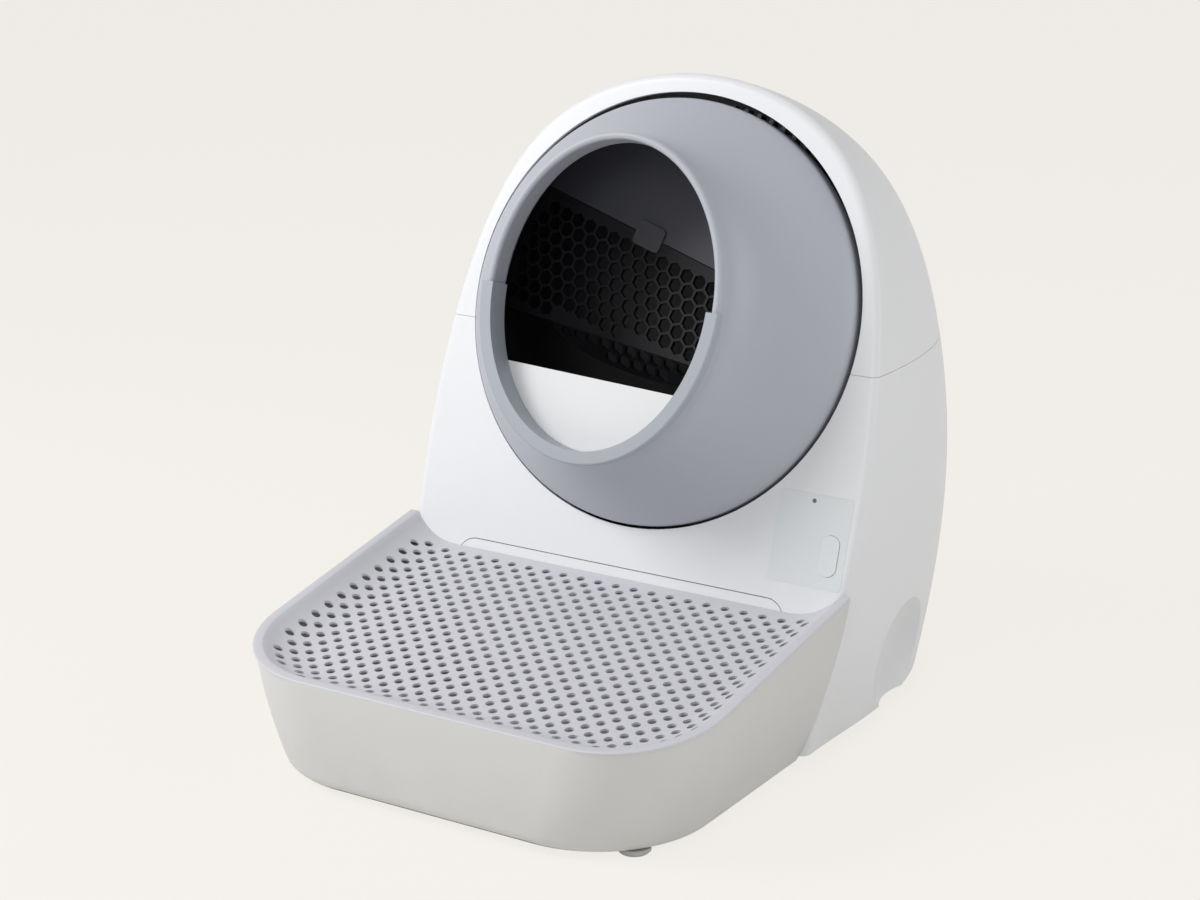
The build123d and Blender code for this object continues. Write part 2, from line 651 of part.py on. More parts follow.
sieve += Pos(LEAF_X, leaf_top, septum_rear) * Rot(0, 0, degrees(atan(foot_slope))) * leaf
sieve_clips = []
for side in (-1, 1):
    clip = RectangleRounded(CLIP_WIDTH, CLIP_HEIGHT, CLIP_CORNER)
    sieve_clips.append(Pos(side * CLIP_SPACING / 2, SIEVE_TOP, SIEVE_FACE) * extrude(clip, DRUM_WALL))
turn_sieve = Rot(0, 0, SIEVE_TURN)

# Entry lip: channel clipped over the lower half of the collar
lip_end = COLLAR_END + SEAT_GAP + LIP_WALL
sleeve = (MOUTH_HALF_WIDTH - SEAT_GAP, MOUTH_HALF_HEIGHT - SEAT_GAP)
lip_outer = (COLLAR_HALF_WIDTH + SEAT_GAP + LIP_SKIN, COLLAR_HALF_HEIGHT + SEAT_GAP + LIP_SKIN)
entry_lip = oval_bar(*lip_outer, lip_end - LIP_FLANGE, lip_end)
entry_lip = round_ends(entry_lip, lip_end, LIP_SKIN)
entry_lip -= oval_bar(lip_outer[0] - LIP_SKIN, lip_outer[1] - LIP_SKIN, 0, lip_end - LIP_WALL)
entry_lip += oval_bar(*sleeve, COLLAR_START + SEAT_GAP, lip_end - LIP_WALL)
entry_lip -= oval_bar(sleeve[0] - LIP_WALL, sleeve[1] - LIP_WALL, 0, lip_end + 1)
entry_lip &= Pos(0, -FAR / 2, 0) * Box(FAR, FAR, FAR)

# Litter guard: white plate behind the collar's inner shoulder
guard_top = COLLAR_START - SEAT_GAP
guard_form = bell(DRUM_WALL + SEAT_GAP, 0) & slab(guard_top - GUARD_THICK, guard_top)
guard_side = Rot(0, 0, GUARD_TURN) * Pos(0, GUARD_EDGE - FAR / 2, 0) * Box(FAR, FAR, FAR)
litter_guard = guard_form & guard_side

# Screws through the drum's flange, and the magnets that mark its turns
flange_rear = -RIM_DEPTH - DRUM_WALL
screw_reach = RIM_RADIUS - SCREW_HEAD_RADIUS - 1
drum_screws = []
for index in range(DRUM_SCREWS):
    angle = 2 * pi * (index + 0.5) / DRUM_SCREWS
    place = Pos(screw_reach * cos(angle), screw_reach * sin(angle))
    head = place * RegularPolygon(SCREW_HEAD_RADIUS, 6)
    drum_screws.append(tilted(plate(head, flange_rear - SCREW_HEAD, flange_rear)))
magnet_angles = (90, 270)
magnet_reach = HUB_FLANGE_RADIUS - MAGNET_RADIUS - 2
magnet_front = POLE_HEIGHT - HUB_FLANGE
position_magnets = []
for angle in magnet_angles:
    place = magnet_reach * cos(radians(angle)), magnet_reach * sin(radians(angle))
    position_magnets.append(tilted(rod(MAGNET_RADIUS, magnet_front - MAGNET_THICK, magnet_front, *place)))
sensor_outline = Pos(0, -magnet_reach) * Rectangle(SENSOR_WIDTH, SENSOR_HEIGHT)
position_sensor = plate(sensor_outline, bush_front, bush_front + SENSOR_THICK)

# Drawer: flush face, waste bin and the step box in front
drawer_face = plate(door_outline(-DOOR_GAP), -WALL, 0)
drawer_face = tilted(drawer_face) & above(PAN_TOP + SEAT_GAP + 0.5)
bin_foot = PAN_TOP + SEAT_GAP


def bin_block(inset, foot, top):
    """Upright block of the waste bin, slanted in front to suit the face."""
    length = BIN_REAR + FAR / 4 - inset
    outline = Pos(0, BIN_REAR - inset - length / 2) * Rectangle(2 * (BIN_HALF - inset), length)
    outline = fillet(outline.vertices().sort_by(Axis.Y)[-2:], BIN_CORNER - inset)
    return Pos(0, 0, foot) * extrude(outline, top - foot) & behind(-WALL - inset)


waste_bin = bin_block(0, bin_foot, BIN_TOP)
waste_bin -= bin_block(BIN_WALL, bin_foot + BIN_WALL, BIN_TOP + 1)

STEP_REAR_Y = AXIS_Y + (STEP_RIM_REAR - AXIS_Z) * LEAN
RIM_SLOPE = (STEP_RIM_REAR - STEP_RIM_FRONT) / (STEP_REAR_Y - STEP_FRONT)
RIM_FRAME = Plane(origin=(0, STEP_REAR_Y, STEP_RIM_REAR), x_dir=(1, 0, 0), z_dir=(0, -RIM_SLOPE, 1))
OVERRUN = 100.0


def step_outline(front, side_inset, front_inset, corner):
    """Plan outline of the step: sides that close in towards a rounded front, open to the rear."""
    length = -front
    spread = (STEP_HALF_REAR - STEP_HALF_FRONT) / length
    rear_half = STEP_HALF_REAR + spread * OVERRUN - side_inset
    front_half = STEP_HALF_FRONT - side_inset
    outline = Polyline(
        (-rear_half, OVERRUN),
        (-front_half, front + front_inset),
        (front_half, front + front_inset),
        (rear_half, OVERRUN),
        close=True,
    )
    sketch = make_face(outline)
    corners = sketch.vertices().sort_by(Axis.Y)[:2]
    return fillet(corners, corner)


def step_form(inset):
    """Block of the step box, drawn in at the sides towards the floor."""
    sections = []
    for share in (1, STEP_WAIST, 0):
        tuck = share * STEP_TUCK + inset
        front_tuck = share * STEP_FRONT_TUCK + inset
        corner = STEP_CORNER + share * (STEP_FOOT_CORNER - STEP_CORNER) - inset
        level = STEP_RIM_REAR + (STEP_FOOT_HEIGHT - STEP_RIM_REAR) * sqrt(share)
        outline = step_outline(STEP_FRONT - STEP_REAR_Y, tuck, front_tuck, corner)
        sections.append(Pos(0, STEP_REAR_Y, level) * outline)
    return loft(sections)


def under_rim(drop):
    """Half-space under the plane that lies this far below the sloping rim."""
    return RIM_FRAME.location * (Pos(0, 0, -drop - FAR / 2) * Box(FAR, FAR, FAR))


step_outside = step_form(0) & ahead(STEP_GAP)
step_outside = fillet(
    [
        e
        for e in step_outside.edges().group_by(Axis.Z)[0]
        if height_of(e.center().Y, e.center().Z) > STEP_FOOT_ROUND
    ],
    STEP_FOOT_ROUND,
)
step_inside = step_form(STEP_WALL) & ahead(STEP_GAP + STEP_WALL) & above(STEP_FOOT_HEIGHT + STEP_WALL)
step_box = (step_outside - step_inside) & under_rim(TRAY_LIP + RUN_GAP)
step_box -= step_form(STEP_WALL) - under_rim(TRAY_DEPTH + TRAY_WALL + TRAY_GAP)
pad_u = along_face((STEP_RIM_FRONT + STEP_FOOT_HEIGHT) / 2, 0)
for side in (-1, 1):
    pad = Pos(side * BIN_HALF / 2, pad_u) * Rectangle(PAD_WIDTH, PAD_HEIGHT)
    step_box += tilted(plate(pad, 0, STEP_GAP + STEP_WALL / 2))

# Step tray: dished plate on the step box's rim, with a staggered field of holes
DISH_RADIUS = (TRAY_SLOPE**2 + TRAY_DEPTH**2) / (2 * TRAY_DEPTH)
DISH_RISE = 3.0
dish_edge = STEP_WALL + TRAY_GAP + TRAY_WALL + TRAY_EASE
dish_length = sqrt((STEP_REAR_Y - STEP_FRONT) ** 2 + (STEP_RIM_REAR - STEP_RIM_FRONT) ** 2)


def dish(thickness, top):
    """Dished form under a height over the rim: its sides are arcs that run into the flat floor."""
    radius = DISH_RADIUS + thickness
    steepest = acos((DISH_RADIUS - TRAY_DEPTH - top) / radius)
    sections = []
    for share in (1, 0.7, 0.35, 0):
        angle = steepest * share
        inset = dish_edge + TRAY_SLOPE - radius * sin(angle)
        level = DISH_RADIUS - TRAY_DEPTH - radius * cos(angle)
        outline = step_outline(-dish_length, inset, inset, STEP_CORNER - inset)
        sections.append(Pos(0, 0, level) * outline)
    return RIM_FRAME.location * loft(sections)


tray_rim = (step_form(0) & under_rim(0)) - under_rim(TRAY_LIP)
step_tray = (dish(TRAY_WALL, 0) + tray_rim) & ahead(STEP_GAP)
step_tray -= dish(0, DISH_RISE)
hole_foot = STEP_RIM_FRONT - 2 * TRAY_DEPTH
hole = Pos(0, 0, hole_foot) * extrude(RegularPolygon(HOLE_ROUND, 6), STEP_RIM_REAR - hole_foot)
holes = []
row_count = int((STEP_REAR_Y - STEP_FRONT - 2 * HOLE_MARGIN) / HOLE_PITCH_Y) + 1
column_count = int(STEP_HALF_REAR / HOLE_PITCH_X)
for row in range(row_count):
    hole_y = STEP_FRONT + HOLE_MARGIN + row * HOLE_PITCH_Y
    reach = STEP_HALF_FRONT - HOLE_MARGIN
    from_corner = STEP_FRONT + STEP_CORNER - hole_y
    if from_corner > 0:
        reach -= STEP_CORNER - HOLE_MARGIN
        reach += sqrt((STEP_CORNER - HOLE_MARGIN) ** 2 - min(from_corner, STEP_CORNER - HOLE_MARGIN) ** 2)
    for column in range(-column_count, column_count + 1):
        hole_x = (column + row % 2 / 2) * HOLE_PITCH_X
        if abs(hole_x) < reach:
            holes.append(Pos(hole_x, hole_y, 0) * hole)
step_tray -= holes

# Controls: plate, button, light and the board behind them
control_panel = plate(panel_outline(0), -PANEL_SUNK, PANEL_THICK - PANEL_SUNK)
control_panel -= plate(button_outline(SEAT_GAP), -WALL, WALL)
control_panel -= rod(LENS_RADIUS + RUN_GAP, -WALL, WALL, LENS_X, LENS_U)
button_rear = -WALL - BUTTON_FLANGE - SEAT_GAP
control_button = plate(button_outline(0), button_rear, PANEL_THICK - PANEL_SUNK + BUTTON_PROUD)
control_button += plate(button_outline(BUTTON_FLANGE), button_rear, button_rear + BUTTON_FLANGE)
indicator_lens = rod(LENS_RADIUS, -WALL, PANEL_THICK - PANEL_SUNK + 0.3, LENS_X, LENS_U)
board_front = -WALL - BOARD_STANDOFF
board_middle = Pos((PANEL_LEFT + PANEL_RIGHT - BOARD_MARGIN) / 2, (PANEL_TOP + PANEL_FOOT) / 2)
board_outline = board_middle * Rectangle(PANEL_RIGHT - PANEL_LEFT - BOARD_MARGIN, PANEL_TOP - PANEL_FOOT)
control_board = plate(board_outline, board_front - BOARD_THICK, board_front)
switch_top = button_rear - BUTTON_TRAVEL - SEAT_GAP
switch_outline = Pos(BUTTON_X, BUTTON_U) * Rectangle(SWITCH_SIZE, SWITCH_SIZE)
control_board += plate(switch_outline, board_front, switch_top)

# Feet, screws and the power inlet
def foot(height):
    puck = Cylinder(FOOT_RADIUS, height, align=(Align.CENTER, Align.CENTER, Align.MIN))
    return chamfer(puck.edges().group_by(Axis.Z)[0], FOOT_CHAMFER)


rubber_feet = [Pos(x, y) * foot(FOOT_HEIGHT) for x in (-FOOT_X, FOOT_X) for y in (FOOT_FRONT_Y, FOOT_REAR_Y)]
step_feet = [Pos(x, STEP_FOOT_Y) * foot(STEP_FOOT_HEIGHT) for x in (-STEP_FOOT_X, STEP_FOOT_X)]
screw = Pos(0, 0, FOOT_HEIGHT - SCREW_HEAD) * extrude(RegularPolygon(SCREW_HEAD_RADIUS, 6), SCREW_HEAD)
screw_rows = (FOOT_FRONT_Y, AXIS_Y, FOOT_REAR_Y)
pan_screws = [Pos(x, y) * screw for x in (-FOOT_X / 2, FOOT_X / 2) for y in screw_rows]
inlet_place = Pos(INLET_X, REAR_Y, INLET_Z) * Rot(-90, 0, 0)
power_inlet = Cylinder(INLET_BODY / 2, WALL * 3, align=(Align.CENTER, Align.CENTER, Align.MAX))
power_inlet -= Cylinder(INLET_BORE, INLET_DEPTH, align=(Align.CENTER, Align.CENTER, Align.MAX))
power_inlet = inlet_place * power_inlet

PIECES = {
    "base_shell": base_shell,
    "top_cover": top_cover,
    "base_pan": base_pan,
    "drum_cradle": drum_cradle,
    "drum_front": tilted(drum_front),
    "drum_rear": tilted(drum_rear),
    "drum_hub": tilted(drum_hub),
    "hub_bush": tilted(hub_bush),
    "hub_bracket": hub_bracket,
    "ring_gear": tilted(ring_gear),
    "drive_pinion": tilted(drive_pinion),
    "pinion_shaft": tilted(pinion_shaft),
    "gearbox": tilted(gearbox),
    "drive_motor": tilted(drive_motor),
    "motor_bracket": motor_bracket,
    "support_roller_left": tilted(rollers["left"]),
    "support_roller_right": tilted(rollers["right"]),
    "roller_brackets": roller_brackets,
    "roller_axles": roller_axles,
    "septum_panel": tilted(turn_sieve * septum_panel),
    "sieve": tilted(turn_sieve * sieve),
    "sieve_clips": [tilted(turn_sieve * clip) for clip in sieve_clips],
    "entry_lip": tilted(entry_lip),
    "litter_guard": tilted(litter_guard),
    "drum_screws": drum_screws,
    "position_magnets": position_magnets,
    "position_sensor": tilted(position_sensor),
    "drawer_face": drawer_face,
    "waste_bin": waste_bin,
    "step_box": step_box,
    "step_tray": step_tray,
    "control_panel": tilted(control_panel),
    "control_button": tilted(control_button),
    "indicator_lens": tilted(indicator_lens),
    "control_board": tilted(control_board),
    "rubber_feet": rubber_feet,
    "step_feet": step_feet,
    "pan_screws": pan_screws,
    "power_inlet": power_inlet,
}

os.makedirs("parts", exist_ok=True)
for piece_name, piece in PIECES.items():
    solids = Compound(children=piece) if isinstance(piece, list) else piece
    export_step(solids, f"parts/{piece_name}.step")
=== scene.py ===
import json
from math import acos, asin, atan, cos, hypot, pi, radians, sin, sqrt, tan

import bmesh
import bpy
from mathutils import Matrix, Vector


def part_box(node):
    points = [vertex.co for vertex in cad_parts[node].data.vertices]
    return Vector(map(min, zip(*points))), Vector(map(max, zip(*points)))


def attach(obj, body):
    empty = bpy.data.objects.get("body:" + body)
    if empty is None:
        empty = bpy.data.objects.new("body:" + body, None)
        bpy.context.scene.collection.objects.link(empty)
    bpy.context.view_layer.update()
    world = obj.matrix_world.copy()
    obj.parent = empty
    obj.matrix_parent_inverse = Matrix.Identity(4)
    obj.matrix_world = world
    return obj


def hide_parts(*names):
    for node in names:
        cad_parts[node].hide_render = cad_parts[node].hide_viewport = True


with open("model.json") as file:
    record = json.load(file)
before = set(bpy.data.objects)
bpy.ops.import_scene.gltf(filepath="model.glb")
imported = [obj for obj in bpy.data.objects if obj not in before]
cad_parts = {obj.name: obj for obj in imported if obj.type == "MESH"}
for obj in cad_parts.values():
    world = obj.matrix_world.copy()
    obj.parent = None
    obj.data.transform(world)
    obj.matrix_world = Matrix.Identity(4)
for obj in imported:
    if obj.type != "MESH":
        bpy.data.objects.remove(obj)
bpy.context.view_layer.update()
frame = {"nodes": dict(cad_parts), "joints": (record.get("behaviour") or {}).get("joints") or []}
nodes = frame["nodes"]

# Camera
# It stands to the right of the front, a little above the drum, as in the photograph.
# The lens is a short telephoto, so the sides of the housing close in only slightly.
CAMERA_PLACE = (1.288, -2.1235, 1.044)
CAMERA_AZIMUTH = radians(31.53)
CAMERA_ELEVATION = radians(17.02)
CAMERA_LENS = 76.98
SENSOR_WIDTH = 36.0
camera_data = bpy.data.cameras.new("camera")
camera_data.lens = CAMERA_LENS
camera_data.sensor_width = SENSOR_WIDTH
camera = bpy.data.objects.new("camera", camera_data)
camera.location = CAMERA_PLACE
camera.rotation_euler = (pi / 2 - CAMERA_ELEVATION, 0, CAMERA_AZIMUTH)
bpy.context.collection.objects.link(camera)
bpy.context.scene.camera = camera
bpy.context.scene.view_settings.view_transform = "Standard"

# Studio
# A cream floor that runs past the edges of the picture, under a cream sky of the same colour.
# One wide soft lamp stands at the left of the front, and weaker ones fill the mouth and the right side.
CREAM = (0.913, 0.888, 0.840, 1.0)
SKY_TINT = (0.97, 0.98, 1.0, 1.0)
SKY_LIGHT = 0.39
FLOOR_HALF = 30.0
FLOOR_SHADOW_SHARE = 0.10


def add_node(tree, kind, sources=None, **settings):
    """New node of a tree. Its sources are sockets to link or plain values, keyed by the inputs they feed."""
    node = tree.nodes.new(kind)
    for name, value in settings.items():
        setattr(node, name, value)
    for key, source in (sources or {}).items():
        if isinstance(source, bpy.types.NodeSocket):
            tree.links.new(source, node.inputs[key])
        else:
            node.inputs[key].default_value = source
    return node


def math_node(tree, operation, *sources):
    """Result of one step of arithmetic on sockets or plain numbers."""
    return add_node(tree, "ShaderNodeMath", dict(enumerate(sources)), operation=operation).outputs[0]


def backdrop_rays(tree):
    """1 where a ray comes from the camera, a gloss or a glass, which should all see the plain backdrop."""
    rays = add_node(tree, "ShaderNodeLightPath").outputs
    direct = math_node(tree, "MAXIMUM", rays["Is Camera Ray"], rays["Is Glossy Ray"])
    return math_node(tree, "MAXIMUM", direct, rays["Is Transmission Ray"])


def soft_lamp(name, place, aim, width, power):
    """Square area lamp that looks from one point at another."""
    data = bpy.data.lights.new(name, "AREA")
    data.size = width
    data.energy = power
    lamp = bpy.data.objects.new(name, data)
    lamp.location = place
    lamp.rotation_euler = (Vector(aim) - Vector(place)).to_track_quat("-Z", "Y").to_euler()
    bpy.context.collection.objects.link(lamp)


floor_mesh = bpy.data.meshes.new("floor")
floor_corners = [(x * FLOOR_HALF, y * FLOOR_HALF, 0) for x, y in ((-1, -1), (1, -1), (1, 1), (-1, 1))]
floor_mesh.from_pydata(floor_corners, [], [(0, 1, 2, 3)])
floor = bpy.data.objects.new("floor", floor_mesh)
bpy.context.collection.objects.link(floor)

floor_material = bpy.data.materials.new("floor_paper")
floor_material.use_nodes = True
floor_tree = floor_material.node_tree
floor_tree.nodes.clear()
floor_glow = add_node(floor_tree, "ShaderNodeEmission", {"Color": CREAM})
floor_paper = add_node(floor_tree, "ShaderNodeBsdfDiffuse", {"Color": CREAM})
floor_share = math_node(floor_tree, "MULTIPLY", backdrop_rays(floor_tree), 1 - FLOOR_SHADOW_SHARE)
floor_mix = add_node(
    floor_tree,
    "ShaderNodeMixShader",
    {"Fac": floor_share, 1: floor_paper.outputs[0], 2: floor_glow.outputs[0]},
)
add_node(floor_tree, "ShaderNodeOutputMaterial", {"Surface": floor_mix.outputs[0]})
floor_mesh.materials.append(floor_material)

world = bpy.data.worlds.new("studio")
world.use_nodes = True
bpy.context.scene.world = world
world_tree = world.node_tree
sky = world_tree.nodes["Background"]
sky.inputs["Color"].default_value = SKY_TINT
sky.inputs["Strength"].default_value = SKY_LIGHT
backdrop = add_node(world_tree, "ShaderNodeBackground", {"Color": CREAM})
sky_mix = add_node(
    world_tree,
    "ShaderNodeMixShader",
    {"Fac": backdrop_rays(world_tree), 1: sky.outputs[0], 2: backdrop.outputs[0]},
)
world_tree.links.new(sky_mix.outputs[0], world_tree.nodes["World Output"].inputs["Surface"])

soft_lamp("key_lamp", place=(-1.6, -1.4, 1.9), aim=(0, 0, 0.35), width=1.2, power=43)
soft_lamp("front_lamp", place=(0.8, -2.6, 1.5), aim=(0, 0, 0.4), width=1.0, power=12)
soft_lamp("fill_lamp", place=(2.6, 0.6, 1.3), aim=(0, 0.1, 0.3), width=1.8, power=18)

# Housing: base shell and top cover
# Two injection moulded shells in cool white plastic, parted by a thin seam under the drum's middle.
# The cover drops on the base, and its finish is a fine satin spark texture.
HOUSING_WHITE = (0.80, 0.81, 0.83)
GRAIN_DETAIL = 2.0
GRAIN_DEPTH = 0.0004
CLOUD_SCALE = 5.0
CLOUD_DETAIL = 3.0
CLOUD_LOW = 0.3
CLOUD_HIGH = 0.7
# Grey that darkens surfaces near the floor, partly dusting and partly painted shade for the dimmer light low
# down.
DUST_AND_SHADE_GREY = (0.42, 0.40, 0.37, 1.0)
DUST_AND_SHADE_REACH = 0.12
DUST_SCALE = 18.0
DUST_DETAIL = 5.0
NUMBER = "NodeSocketFloat"
COLOUR = "NodeSocketColor"
# Places of the colour sockets on a mix node, which shares their names with its other kinds
MIX_FIRST = 6
MIX_SECOND = 7
MIX_RESULT = 2


def node_group(name, inputs, outputs):
    """Empty shader group with named number and colour sockets."""
    group = bpy.data.node_groups.new(name, "ShaderNodeTree")
    for side, sockets in (("INPUT", inputs), ("OUTPUT", outputs)):
        for socket_name, kind in sockets:
            group.interface.new_socket(socket_name, in_out=side, socket_type=kind)
    start = group.nodes.new("NodeGroupInput")
    end = group.nodes.new("NodeGroupOutput")
    return group, start.outputs, end.inputs


moulded_skin, skin_in, skin_out = node_group(
    "moulded skin",
    (("Color", COLOUR), ("Cloud", NUMBER), ("Grain", NUMBER), ("Roughness", NUMBER), ("Sheen Drift", NUMBER)),
    (("Color", COLOUR), ("Roughness", NUMBER), ("Height", NUMBER)),
)
skin_place = add_node(moulded_skin, "ShaderNodeTexCoord").outputs["Object"]
skin_grain = add_node(
    moulded_skin,
    "ShaderNodeTexNoise",
    {"Vector": skin_place, "Scale": skin_in["Grain"], "Detail": GRAIN_DETAIL},
)
skin_cloud = add_node(
    moulded_skin,
    "ShaderNodeTexNoise",
    {"Vector": skin_place, "Scale": CLOUD_SCALE, "Detail": CLOUD_DETAIL},
)
skin_swing = add_node(
    moulded_skin,
    "ShaderNodeMapRange",
    {
        "Value": skin_cloud.outputs["Fac"],
        "From Min": CLOUD_LOW,
        "From Max": CLOUD_HIGH,
        "To Min": -1.0,
        "To Max": 1.0,
    },
).outputs["Result"]
skin_value = math_node(moulded_skin, "MULTIPLY_ADD", skin_swing, skin_in["Cloud"], 1.0)
skin_rough = math_node(moulded_skin, "MULTIPLY_ADD", skin_swing, skin_in["Sheen Drift"], skin_in["Roughness"])
skin_tint = add_node(moulded_skin, "ShaderNodeHueSaturation", {"Color": skin_in["Color"], "Value": skin_value})
moulded_skin.links.new(skin_tint.outputs["Color"], skin_out["Color"])
moulded_skin.links.new(skin_rough, skin_out["Roughness"])
moulded_skin.links.new(skin_grain.outputs["Fac"], skin_out["Height"])

# Painted shade with dusting: the colour darkens towards the floor in noisy patches, partly as dusting and
# partly standing in for the dimmer light low down.
floor_dust_and_shade, dust_and_shade_in, dust_and_shade_out = node_group(
    "floor dust and shade",
    (("Color", COLOUR), ("Dust And Shade", COLOUR), ("Reach", NUMBER), ("Amount", NUMBER)),
    (("Color", COLOUR),),
)
dust_place = add_node(floor_dust_and_shade, "ShaderNodeTexCoord").outputs["Object"]
dust_and_shade_height = add_node(floor_dust_and_shade, "ShaderNodeSeparateXYZ", {0: dust_place}).outputs["Z"]
dust_and_shade_fade = add_node(
    floor_dust_and_shade,
    "ShaderNodeMapRange",
    {"Value": dust_and_shade_height, "From Max": dust_and_shade_in["Reach"], "To Min": 1.0, "To Max": 0.0},
)
dust_patch = add_node(
    floor_dust_and_shade,
    "ShaderNodeTexNoise",
    {"Vector": dust_place, "Scale": DUST_SCALE, "Detail": DUST_DETAIL},
)
dust_and_shade_mask = math_node(floor_dust_and_shade, "MULTIPLY", dust_and_shade_fade.outputs["Result"], dust_patch.outputs["Fac"])
dust_and_shade_share = math_node(floor_dust_and_shade, "MULTIPLY", dust_and_shade_mask, dust_and_shade_in["Amount"])
dust_and_shade_mix = add_node(
    floor_dust_and_shade,
    "ShaderNodeMix",
    {"Factor": dust_and_shade_share, MIX_FIRST: dust_and_shade_in["Color"], MIX_SECOND: dust_and_shade_in["Dust And Shade"]},
    data_type="RGBA",
)
floor_dust_and_shade.links.new(dust_and_shade_mix.outputs[MIX_RESULT], dust_and_shade_out["Color"])


def moulded_plastic(
    name,
    colour,
    roughness,
    grain=900.0,
    bump=0.08,
    cloud=0.012,
    drift=0.04,
    dust_and_shade=0.0,
    coat=0.0,
    specular=0.5,
    metallic=0.0,
):
    """Moulded plastic: faint cloudiness, a fine tool texture and, near the floor, a little dusting with painted
    shade that darkens it.
    """
    material = bpy.data.materials.new(name)
    material.use_nodes = True
    tree = material.node_tree
    skin = add_node(
        tree,
        "ShaderNodeGroup",
        {
            "Color": (*colour, 1.0),
            "Cloud": cloud,
            "Grain": grain,
            "Roughness": roughness,
            "Sheen Drift": drift,
        },
        node_tree=moulded_skin,
    )
    surface = skin.outputs["Color"]
    if dust_and_shade:
        dust_and_shade_film = add_node(
            tree,
            "ShaderNodeGroup",
            {"Color": surface, "Dust And Shade": DUST_AND_SHADE_GREY, "Reach": DUST_AND_SHADE_REACH, "Amount": dust_and_shade},
            node_tree=floor_dust_and_shade,
        )
        surface = dust_and_shade_film.outputs["Color"]
    relief = add_node(
        tree,
        "ShaderNodeBump",
        {"Strength": bump, "Distance": GRAIN_DEPTH, "Height": skin.outputs["Height"]},
    )
    shader = tree.nodes["Principled BSDF"]
    tree.links.new(surface, shader.inputs["Base Color"])
    tree.links.new(skin.outputs["Roughness"], shader.inputs["Roughness"])
    tree.links.new(relief.outputs["Normal"], shader.inputs["Normal"])
    shader.inputs["Coat Weight"].default_value = coat
    shader.inputs["Specular IOR Level"].default_value = specular
    shader.inputs["Metallic"].default_value = metallic
    return material


def finish_nodes(material, *names):
    """Give CAD nodes one material in place of the record's plain one."""
    for name in names:
        mesh = nodes[name].data
        mesh.materials.clear()
        mesh.materials.append(material)


# The housing darkens towards the floor, partly dusting and partly painted shade.
housing_plastic = moulded_plastic("housing_plastic", HOUSING_WHITE, 0.42, dust_and_shade=0.35)
finish_nodes(housing_plastic, "base_shell", "top_cover")

# Controls
# A thin gloss plate is let into the front at the lower right, with an oblong push button and a small light.
# Behind it a green board stands on four posts of the base shell.
PANEL_PALE = (0.75, 0.78, 0.795)
BUTTON_PALE = (0.76, 0.79, 0.80)
LENS_SMOKE = (0.10, 0.105, 0.12)
BOARD_GREEN = (0.02, 0.11, 0.05)
panel_plastic = moulded_plastic("panel_plastic", PANEL_PALE, 0.22, grain=300.0, bump=0.02, drift=0.02, coat=0.4)
button_plastic = moulded_plastic("button_plastic", BUTTON_PALE, 0.34, grain=600.0, bump=0.04)
lens_plastic = moulded_plastic("lens_plastic", LENS_SMOKE, 0.10, grain=200.0, bump=0.0, coat=1.0)
board_laminate = moulded_plastic("board_laminate", BOARD_GREEN, 0.35, grain=2500.0, bump=0.1, cloud=0.15)
finish_nodes(panel_plastic, "control_panel")
finish_nodes(button_plastic, "control_button")
finish_nodes(lens_plastic, "indicator_lens")
finish_nodes(board_laminate, "control_board", "position_sensor")

# Drum
# Two mouldings screwed together behind the rim: a pale blue-grey bell that eases from the round rim
# into the oval collar, and a dark closed rear shell with the waste port, made near-black as painted shade for
# the dim inside of the drum.
DRUM_GREY = (0.44, 0.458, 0.515)
# Painted shade: the rear shell is dark plastic made near-black to stand in for the shade inside the drum.
DRUM_BACK_PAINTED_SHADE = (0.020, 0.021, 0.026)
drum_plastic = moulded_plastic("drum_plastic", DRUM_GREY, 0.46, grain=1100.0, bump=0.06, cloud=0.01)
drum_back_shade_plastic = moulded_plastic("drum_back_shade_plastic", DRUM_BACK_PAINTED_SHADE, 0.55, cloud=0.06)
finish_nodes(drum_plastic, "drum_front")
finish_nodes(drum_back_shade_plastic, "drum_rear")

# Entry lip and litter guard
# The lip is a soft blue-grey channel pushed over the lower half of the collar.
# The guard is a white plate across the foot of the mouth that keeps litter in.
LIP_GREY = (0.375, 0.405, 0.445)
GUARD_WHITE = (0.78, 0.785, 0.80)
lip_plastic = moulded_plastic("lip_plastic", LIP_GREY, 0.50, grain=800.0, bump=0.10)
guard_plastic = moulded_plastic("guard_plastic", GUARD_WHITE, 0.40)
finish_nodes(lip_plastic, "entry_lip")
finish_nodes(guard_plastic, "litter_guard")

# Septum
# A slate wall closes the drum above the sieve, and two tabs clip the sieve to it.
SEPTUM_SLATE = (0.058, 0.060, 0.076)
septum_plastic = moulded_plastic("septum_plastic", SEPTUM_SLATE, 0.55, cloud=0.06)
finish_nodes(septum_plastic, "septum_panel", "sieve_clips")

# Sieve
# Charcoal honeycomb moulded in one piece: a band across the drum with a leaf bent back from its lower edge.
# It is clipped under the septum, and every cell is a hexagonal hole right through the plate.
SIEVE_CHARCOAL = (0.010, 0.010, 0.014)
SIEVE_TURN = radians(-17)
SIEVE_FACE = -0.020
SIEVE_THICK = 0.005
SIEVE_RADIUS = 0.2069
SEPTUM_FOOT = 0.062
SIEVE_FOOT_LEFT = -0.076
SIEVE_FOOT_RIGHT = -0.012
SIEVE_EDGE = 0.002
SIEVE_GROOVE = 0.0009
CELL_PITCH = 0.0163
CELL_WEB = 0.0026
CELL_COLUMNS = 30
CELL_ROWS = 12
CELL_SIDES = 6
CELL_CUT = 0.030
BAND_ROW_SHIFT = -0.0065
LEAF_X = -0.020
LEAF_HALF = 0.110
LEAF_DROP = 0.034
LEAF_BEND = radians(30)
ARC_STEPS = 12
PROBE_RISE = 1.0

